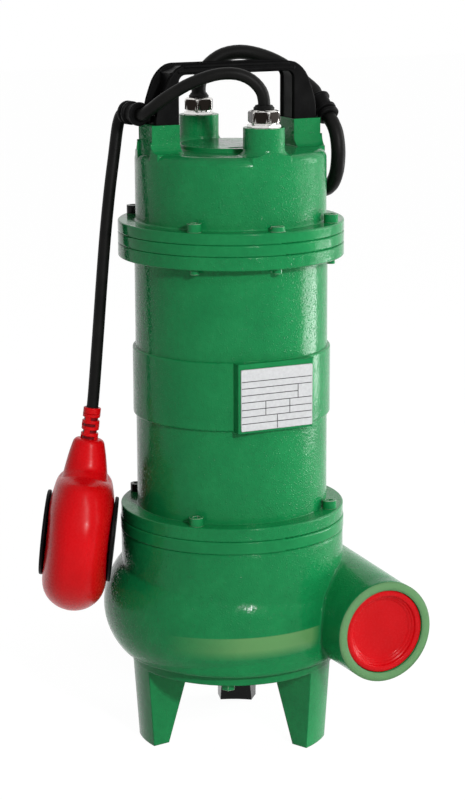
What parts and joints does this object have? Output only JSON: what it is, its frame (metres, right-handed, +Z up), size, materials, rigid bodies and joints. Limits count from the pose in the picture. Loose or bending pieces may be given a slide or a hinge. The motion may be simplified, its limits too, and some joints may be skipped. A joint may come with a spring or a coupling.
{
  "type": "submersible sump pump",
  "caption": "Submersible sump pump with a cast motor housing, a spiral chamber on three legs, a vortex impeller, a moulded handle and a float switch on its lead.",
  "frame": {"origin": "on the floor, on the vertical axis of the motor", "axes": "+Z up along the motor axis, the discharge port faces -Y and lies on the +X side, the float hangs on the -X side"},
  "size_m": [0.3188, 0.3536, 0.498],
  "materials": {
    "cast_green": "green enamel over a sand casting, glossy with a fine bumpy grain",
    "steel": "bright machined steel",
    "chrome": "bright nickel plating on brass",
    "rubber_black": "matt black rubber",
    "cable_rubber": "satin black cable sheath",
    "plastic_black": "black moulded plastic with a light sheen",
    "plastic_red": "glossy red moulded plastic",
    "plastic_ivory": "ivory moulded plastic",
    "plate_aluminium": "thin bare plate, matt silver white",
    "lamination_steel": "stacked steel laminations",
    "rotor_aluminium": "die cast aluminium",
    "copper_wire": "varnished copper winding",
    "impeller_iron": "bare grey cast iron",
    "ceramic": "lapped ivory seal ring"
  },
  "bodies": {
    "pump": {"base_stand": "cast_green", "base_screws": "steel", "volute_casing": "cast_green", "volute_o_ring": "rubber_black", "seal_plate": "cast_green", "lower_flange_screws": "cast_green", "motor_casing": "cast_green", "nameplate": "plate_aluminium", "stator_core": "lamination_steel", "stator_windings": "copper_wire", "lower_bearing_outer": "steel", "lower_bearing_balls": "steel", "upper_bearing_outer": "steel", "upper_bearing_balls": "steel", "lip_seal": "rubber_black", "seal_seat": "ceramic", "upper_bearing_plate": "cast_green", "cover_o_ring": "rubber_black", "top_cover": "cast_green", "top_flange_screws": "cast_green", "flange_pan_screw": "cast_green", "terminal_block": "plastic_ivory", "handle": "plastic_black", "handle_screws": "steel", "gland_bodies": "chrome", "gland_nuts": "chrome", "power_gland_seal": "rubber_black", "float_gland_seal": "rubber_black", "float_cable_clip": "plastic_black", "power_cable_clip": "plastic_black", "power_cable": "cable_rubber", "power_cable_coil": "cable_rubber", "power_cable_end": "cable_rubber", "float_cable_lead": "cable_rubber"},
    "rotor": {"shaft": "steel", "rotor_core": "lamination_steel", "rotor_end_rings": "rotor_aluminium", "lower_bearing_inner": "steel", "upper_bearing_inner": "steel", "seal_head": "rubber_black", "impeller": "impeller_iron", "impeller_washer": "steel", "impeller_screw": "steel"},
    "plug": {"port_plug": "plastic_red"},
    "float": {"float_cable_drop": "cable_rubber", "float_strain_relief": "plastic_red", "float_shell": "plastic_red", "float_side_caps": "plastic_black", "float_switch": "plastic_ivory"}
  },
  "joints": [
    {"name": "rotor_spin", "type": "hinge", "parent": "pump", "child": "rotor", "pos_m": [0, 0, 0.27], "axis": [0, 0, 1], "continuous": true},
    {"name": "plug_pull", "type": "slide", "parent": "pump", "child": "plug", "axis": [0, -1, 0], "range_m": [0, 0.12]},
    {"name": "float_lift", "type": "hinge", "parent": "pump", "child": "float", "pos_m": [-0.07265, 0.02038, 0.4565], "axis": [0, 1, 0], "range_deg": [0, 80]}
  ]
}
